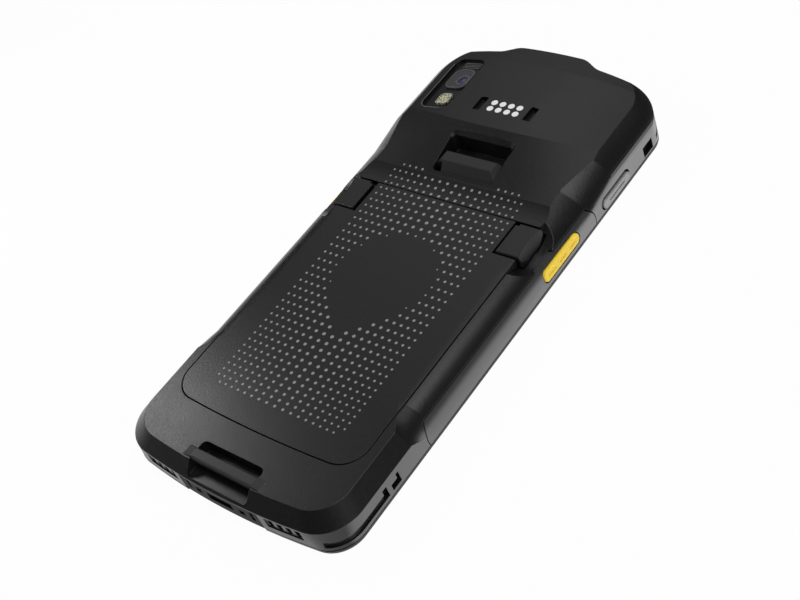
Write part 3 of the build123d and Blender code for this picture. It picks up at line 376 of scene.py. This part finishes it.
FINISHES = {
    "housing_plastic": printed_back("textured_back_shell", 0.34),
    "pack_plastic": printed_back("textured_pack_cover", 0.33),
    "frame_plastic": moulded("front_frame_plastic", (0.02, 0.02, 0.021), 0.42, 0.012 * MM),
    "grip_rubber": side_sheen(moulded("soft_touch_grip", (0.02, 0.0194, 0.0204), 0.5, 0.03 * MM,
                                      scale=1900.0)),
    "strap_bar_plastic": moulded("strap_bar_plastic", (0.016, 0.0155, 0.0165), 0.46, 0.01 * MM),
    "panel_plastic": moulded("connector_panel_plastic", (0.0035, 0.0035, 0.004), 0.6, 0.005 * MM,
                             Specular_IOR_Level=0.15),
    "seal": moulded("black_seal_rubber", (0.008, 0.008, 0.008), 0.7),
    "chassis_metal": plain_metal("cast_chassis_alloy", (0.5, 0.5, 0.51), 0.5),
    "steel": plain_metal("rolled_steel", (0.55, 0.55, 0.56), 0.34),
    "spring_steel": plain_metal("spring_steel", (0.5, 0.5, 0.52), 0.25),
    "cover_glass": dark_glass("display_cover_glass"),
    "lens_glass": moulded("camera_cover_glass", (0.045, 0.045, 0.048), 0.42, 0.001 * MM),
    "flash_clear": flash_lens(),
    "scan_filter": dark_glass("red_scan_filter", (0.08, 0.004, 0.006)),
    "screen": dark_glass("screen_layer", (0.01, 0.01, 0.012)),
    "board": moulded("green_solder_mask", (0.01, 0.07, 0.03), 0.35, 0.01 * MM),
    "module_black": moulded("black_module_plastic", (0.012, 0.012, 0.012), 0.5),
    "contact_metal": painted_reflection_contact(),
    "gold": plain_metal("gold_plating", (0.8, 0.58, 0.24), 0.25, stretch=(1.0, 1.0, 1.0)),
    "mesh": speaker_mesh(),
    "cell_wrap": plain_metal("foil_cell_wrap", (0.55, 0.55, 0.58), 0.4),
    "key_yellow": moulded("yellow_key_plastic", (1.0, 0.71, 0.046), 0.4, 0.01 * MM, shade=0.05),
    "key_silver": moulded("silver_key_paint", (0.34, 0.33, 0.34), 0.36, 0.008 * MM, shade=0.05,
                          Metallic=0.35),
    "key_black": moulded("black_key_plastic", (0.016, 0.016, 0.017), 0.4, 0.01 * MM),
}

FRAME_RING = moulded("camera_frame_satin", (0.09, 0.09, 0.094), 0.3, 0.003 * MM)
LENS_STEP = moulded("lens_barrel_black", (0.03, 0.03, 0.034), 0.35, 0.003 * MM)
# Painted glint: blue-violet swirls in the lens colour, on the camera lens and the front camera lens.
LENS_PAINTED_GLINT = painted_glint_lens()
# Painted highlight: the recess ridges are a lighter plastic than the shell, in place of the light
# their edges catch.
RIDGE_PAINTED_HIGHLIGHT = moulded("recess_ridge_painted_highlight", (0.10, 0.096, 0.10), 0.36, 0.006 * MM)
# Painted highlight: the recess lip is a lighter plastic than the shell, in place of the light its
# edge catches.
RIM_PAINTED_HIGHLIGHT = moulded("recess_lip_painted_highlight", (0.16, 0.155, 0.16), 0.36, 0.004 * MM)
FLASH_EDGE = moulded("flash_frame_clear", (0.34, 0.34, 0.26), 0.25, 0.002 * MM, shade=0.04)
SCREEN_LINE = moulded("screen_edge_print", (0.012, 0.012, 0.013), 0.5, 0.001 * MM)
# Painted shade: near-black for the earpiece mesh's holes.
MESH_HOLE_SHADE = moulded("mesh_hole_painted_shade", (0.004, 0.004, 0.004), 0.8, 0.001 * MM)


def dress_frame():
    for part in frame["record"]["subparts"]:
        slots = nodes[part["node"]].data.materials
        slots.clear()
        slots.append(FINISHES[part["material_slot"]].material)


# Shapes, in millimetres ----------------------------------------------------------------------

def move(form, x=0.0, y=0.0, z=0.0):
    bmesh.ops.translate(form, verts=form.verts, vec=(x * MM, y * MM, z * MM))


def open_middle(form, width):
    """Leave a flat outline's rim, this wide, and take its middle away."""
    bmesh.ops.inset_region(form, faces=list(form.faces), thickness=width * MM,
                           use_even_offset=True, use_boundary=True)
    middle = max(form.faces, key=lambda face: len(face.verts))
    bmesh.ops.delete(form, geom=[middle], context="FACES")


def flat_ring(centre, size, corner, width):
    """Ring of even width round a rounded rectangle, flat at height 0."""
    form = bmesh.new()
    bmesh.ops.create_grid(form, x_segments=1, y_segments=1, size=0.5)
    bmesh.ops.scale(form, verts=form.verts, vec=(size[0] * MM, size[1] * MM, 1.0))
    bmesh.ops.bevel(form, geom=list(form.verts), affect="VERTICES", offset=corner * MM,
                    segments=8, profile=0.5, material=-1)
    open_middle(form, width)
    move(form, *centre)
    return form


def thicken(form, height):
    """Turn flat upward-facing faces into a closed body that stands this high."""
    grown = bmesh.ops.extrude_face_region(form, geom=list(form.faces), use_keep_orig=True)["geom"]
    raised = [part for part in grown if isinstance(part, bmesh.types.BMVert)]
    bmesh.ops.translate(form, verts=raised, vec=(0.0, 0.0, height * MM))
    bmesh.ops.recalc_face_normals(form, faces=form.faces)


def lay_on(form, node, sink):
    """Drop a form built round height 0 onto a node, following its surface, and sink it a little."""
    mesh = nodes[node].data
    corners = [vertex.co.copy() for vertex in mesh.vertices]
    surface = BVHTree.FromPolygons(corners, [tuple(face.vertices) for face in mesh.polygons])
    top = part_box(node)[1][2]
    for vertex in form.verts:
        above = Vector((vertex.co.x, vertex.co.y, 50 * MM))
        hit = surface.ray_cast(above, Vector((0.0, 0.0, -1.0)))[0]
        vertex.co.z += (hit.z if hit else top) - sink * MM


def finished(form, name, finish, soften=0.0, body="casing"):
    """Make a piece of a form, with its edges rounded by soften; with no body it doesn't ride."""
    mesh = bpy.data.meshes.new(name)
    form.to_mesh(mesh)
    form.free()
    mesh.shade_smooth()
    mesh.set_sharp_from_angle(angle=math.radians(35))
    mesh.materials.append(finish.material)
    piece = bpy.data.objects.new(name, mesh)
    bpy.context.scene.collection.objects.link(piece)
    if soften:
        round_off = piece.modifiers.new("rounded_edges", "BEVEL")
        round_off.width = soften * MM
        round_off.segments = 2
        round_off.limit_method = "ANGLE"
    if body:
        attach(piece, body)
    return piece


def middle_and_size(node):
    """Middle and size of a node's box across X and Y."""
    low, high = (Vector(corner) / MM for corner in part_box(node))
    return ((low + high) / 2).xy, (high - low).xy


# Pieces --------------------------------------------------------------------------------------

WINDOW_MARGIN = 0.15      # the frames stay this far inside their windows
LENS_SHIFT = Vector((1.5, -0.7))
LENS_RADIUS = 1.12
LENS_FLATTEN = 0.14


def window_frame(name, node, finish, corner, width, rise, sink, soften):
    middle, size = middle_and_size(node)
    form = flat_ring(middle, size - Vector((2, 2)) * WINDOW_MARGIN, corner, width)
    thicken(form, rise)
    lay_on(form, node, sink)
    finished(form, name, finish, soften)


def lens_ring(name, finish, lens, outer, inner, rise):
    form = bmesh.new()
    bmesh.ops.create_circle(form, cap_ends=True, segments=40, radius=outer * MM)
    open_middle(form, outer - inner)
    move(form, *lens)
    thicken(form, rise)
    lay_on(form, "camera_window", 0.02)
    finished(form, name, finish, 0.03)


def lens_dome(lens):
    form = bmesh.new()
    bmesh.ops.create_uvsphere(form, u_segments=32, v_segments=16, radius=LENS_RADIUS * MM)
    bmesh.ops.bisect_plane(form, geom=[*form.verts, *form.edges, *form.faces],
                           plane_co=(0, 0, 0), plane_no=(0, 0, -1), clear_outer=True)
    bmesh.ops.scale(form, verts=form.verts, vec=(1.0, 1.0, LENS_FLATTEN))
    bmesh.ops.holes_fill(form, edges=[edge for edge in form.edges if edge.is_boundary])
    bmesh.ops.recalc_face_normals(form, faces=form.faces)
    move(form, *lens)
    lay_on(form, "camera_window", 0.03)
    finished(form, "camera_lens", LENS_PAINTED_GLINT)


def camera_details():
    window_frame("camera_window_frame", "camera_window", FRAME_RING,
                 corner=2.6, width=0.4, rise=0.16, sink=0.04, soften=0.05)
    lens = middle_and_size("camera_window")[0] + LENS_SHIFT
    lens_ring("camera_lens_collar", FRAME_RING, lens, outer=2.25, inner=1.75, rise=0.14)
    lens_ring("camera_lens_step", LENS_STEP, lens, outer=1.75, inner=1.1, rise=0.05)
    lens_dome(lens)


def return_springs():
    """The latches' springs, each a fixed copy of its spring node's mesh, shown in place of the node.
    """
    for side, towards in (("right", 1), ("left", -1)):
        node = f"latch_spring_{side}"
        form = bmesh.new()
        form.from_mesh(nodes[node].data)
        piece = finished(form, f"latch_coil_{side}", FINISHES["spring_steel"],
                         body=None)
        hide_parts(node)
        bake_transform(piece)


RIDGE_SPOT = (-23.7, 73.5)
RIDGE_STEP = 0.72
RIDGE_SIZE = (6.8, 0.3)


def recess_ridges():
    """Four fine steps at the high end of the camera recess, in a lighter plastic as a painted
    highlight.
    """
    for index in range(4):
        form = bmesh.new()
        bmesh.ops.create_grid(form, x_segments=12, y_segments=1, size=0.5)
        bmesh.ops.scale(form, verts=form.verts, vec=(RIDGE_SIZE[0] * MM, RIDGE_SIZE[1] * MM, 1.0))
        move(form, RIDGE_SPOT[0], RIDGE_SPOT[1] - RIDGE_STEP * index)
        thicken(form, 0.34)
        lay_on(form, "rear_housing", 0.05)
        name = f"camera_recess_ridge_{index + 1}"
        finished(form, name, RIDGE_PAINTED_HIGHLIGHT, 0.08)


RIM_MIDDLE = (-24.55, 63.35)
RIM_SIZE = (12.1, 23.3)
RIM_END_X = -22.0
RIM_END_Y = 72.0


def recess_rim():
    """Lip along the outer and low sides of the camera recess, in a lighter plastic as a painted
    highlight.
    """
    form = flat_ring(RIM_MIDDLE, RIM_SIZE, corner=3.4, width=0.24)
    middles = {face: face.calc_center_median() / MM for face in form.faces}
    spare = [face for face, middle in middles.items() if middle.x > RIM_END_X or middle.y > RIM_END_Y]
    bmesh.ops.delete(form, geom=spare, context="FACES")
    long_edges = [edge for edge in form.edges if edge.calc_length() > 6 * MM]
    bmesh.ops.subdivide_edges(form, edges=long_edges, cuts=14)
    thicken(form, 0.07)
    lay_on(form, "rear_housing", 0.03)
    finished(form, "camera_recess_rim_painted_highlight", RIM_PAINTED_HIGHLIGHT, 0.03)


def flash_details():
    window_frame("flash_window_frame", "flash_window", FLASH_EDGE,
                 corner=1.2, width=0.25, rise=0.1, sink=0.02, soften=0.03)


EARPIECE_Y = 70.0
EARPIECE_SIZE = (12.0, 1.7)
MESH_PITCH = (0.56, 0.5)
FRONT_CAMERA_X = -16.0


def screen_details():
    """What shows through the cover glass on the display side."""
    form = flat_ring((0.0, -2.0), (66.4, 132.6), corner=2.2, width=0.3)
    thicken(form, 0.03)
    move(form, z=0.27)
    finished(form, "screen_border_line", SCREEN_LINE)

    form = flat_ring((0.0, EARPIECE_Y), EARPIECE_SIZE, corner=0.8, width=0.22)
    thicken(form, 0.08)
    move(form, z=0.22)
    finished(form, "earpiece_slot_edge", FRAME_RING, 0.02)

    # Painted shade: near-black discs stand for the shade seen through the earpiece mesh's holes.
    form = bmesh.new()
    for column in range(19):
        for row in range(2):
            shaded_hole = bmesh.ops.create_circle(form, cap_ends=True, segments=8, radius=0.2 * MM)["verts"]
            spot = ((column - 9) * MESH_PITCH[0] * MM,
                    (EARPIECE_Y + MESH_PITCH[1] * (row - 0.5)) * MM, 0.0)
            bmesh.ops.translate(form, verts=shaded_hole, vec=spot)
    thicken(form, 0.04)
    move(form, z=0.25)
    finished(form, "earpiece_holes_painted_shade", MESH_HOLE_SHADE)

    form = bmesh.new()
    bmesh.ops.create_circle(form, cap_ends=True, segments=32, radius=1.7 * MM)
    bmesh.ops.inset_region(form, faces=list(form.faces), thickness=0.5 * MM, use_boundary=True)
    move(form, FRONT_CAMERA_X, EARPIECE_Y)
    thicken(form, 0.06)
    move(form, z=0.22)
    finished(form, "front_camera_lens", LENS_PAINTED_GLINT, 0.02)


dress_frame()
camera_details()
return_springs()
recess_ridges()
recess_rim()
flash_details()
screen_details()


# Studio --------------------------------------------------------------------------------------

FLOOR_RADIUS = 6.0
FLOOR_GAP = 0.2 * MM
FLOOR_WHITE = 0.96        # share of plain white that the camera and reflections see


def studio_floor():
    """Pale floor that keeps the object's shadow, and is clear from below."""
    form = bmesh.new()
    bmesh.ops.create_circle(form, cap_ends=True, segments=96, radius=FLOOR_RADIUS)
    bmesh.ops.translate(form, verts=form.verts, vec=(0, 0, -FLOOR_GAP))
    mesh = bpy.data.meshes.new("studio_floor")
    form.to_mesh(mesh)
    form.free()
    floor = bpy.data.objects.new("studio_floor", mesh)
    bpy.context.scene.collection.objects.link(floor)

    finish = Finish("pale_studio_paper", Base_Color=(0.86, 0.86, 0.86, 1.0), Roughness=0.8)
    path = [finish.node("LightPath", output=name) for name in
            ("Is Camera Ray", "Is Glossy Ray", "Is Transmission Ray")]
    seen = path[0].most(path[1]).most(path[2])
    paper = Wire(finish, finish.shader.outputs[0])
    white = finish.node("Emission", inputs={"Color": (1, 1, 1, 1), "Strength": 1.0})
    front = finish.node("MixShader", inputs={0: seen * FLOOR_WHITE, 1: paper, 2: white})
    behind = finish.node("NewGeometry", output="Backfacing")
    clear = finish.node("BsdfTransparent")
    shown = finish.node("MixShader", inputs={0: behind, 1: front, 2: clear})
    output = finish.tree.nodes["Material Output"]
    finish.tree.links.new(shown.socket, output.inputs["Surface"])
    mesh.materials.append(finish.material)


def studio_world(ambient, reflected):
    """White to the camera, ambient to surfaces, and reflected in glossy ones."""
    world = bpy.data.worlds.new("studio_world")
    bpy.context.scene.world = world
    world.use_nodes = True
    tree = world.node_tree
    background = tree.nodes["Background"]
    background.inputs["Color"].default_value = (1, 1, 1, 1)
    path = tree.nodes.new("ShaderNodeLightPath")
    pick = tree.nodes.new("ShaderNodeMapRange")
    pick.inputs["To Min"].default_value = ambient
    pick.inputs["To Max"].default_value = reflected
    tree.links.new(path.outputs["Is Glossy Ray"], pick.inputs["Value"])
    choose = tree.nodes.new("ShaderNodeMix")
    tree.links.new(path.outputs["Is Camera Ray"], choose.inputs[0])
    tree.links.new(pick.outputs[0], choose.inputs[2])
    choose.inputs[3].default_value = 1.0
    tree.links.new(choose.outputs[0], background.inputs["Strength"])


def soft_lamp(name, direction, distance, size, power, aim=(0, 0, 0.01)):
    """Round area lamp in a direction from the point it aims at, in metres and watts."""
    lamp = bpy.data.lights.new(name, "AREA")
    lamp.shape = "DISK"
    lamp.size = size
    lamp.energy = power
    piece = bpy.data.objects.new(name, lamp)
    away = Vector(direction).normalized()
    piece.location = Vector(aim) + away * distance
    piece.rotation_euler = away.to_track_quat("Z", "Y").to_euler()
    bpy.context.scene.collection.objects.link(piece)


CAMERA_SPOT = (0.209690, -0.157987, 0.246890)
CAMERA_RIGHT = Vector((0.765110, 0.571300, -0.297025))
CAMERA_UP = Vector((-0.269101, 0.702779, 0.658549))
FOCAL_LENGTH = 58.1946


def camera():
    lens = bpy.data.cameras.new("camera")
    lens.sensor_width = 36.0
    lens.lens = FOCAL_LENGTH
    lens.clip_start = 0.01
    lens.clip_end = 50.0
    piece = bpy.data.objects.new("camera", lens)
    back = CAMERA_RIGHT.cross(CAMERA_UP)
    turn = Matrix((CAMERA_RIGHT, CAMERA_UP, back)).transposed().to_4x4()
    piece.matrix_world = Matrix.Translation(CAMERA_SPOT) @ turn
    bpy.context.scene.collection.objects.link(piece)
    bpy.context.scene.camera = piece


studio_floor()
studio_world(ambient=0.3, reflected=0.05)
soft_lamp("left_softbox", (-0.691, 0.257, 0.675), 0.22, 0.06, 0.088, aim=(-0.040, -0.076, 0.011))
soft_lamp("back_softbox", (-0.52, 0.58, 0.63), 0.9, 0.6, 0.42)
soft_lamp("back_right_softbox", (-0.16, 0.52, 0.78), 0.9, 0.5, 0.45)
soft_lamp("right_low_fill", (1.0, -0.4, 0.10), 1.0, 0.6, 3.5)
soft_lamp("top_fill", (0.3, 0.1, 1.0), 1.2, 0.9, 6.0)
camera()
bpy.context.scene.view_settings.view_transform = "Standard"
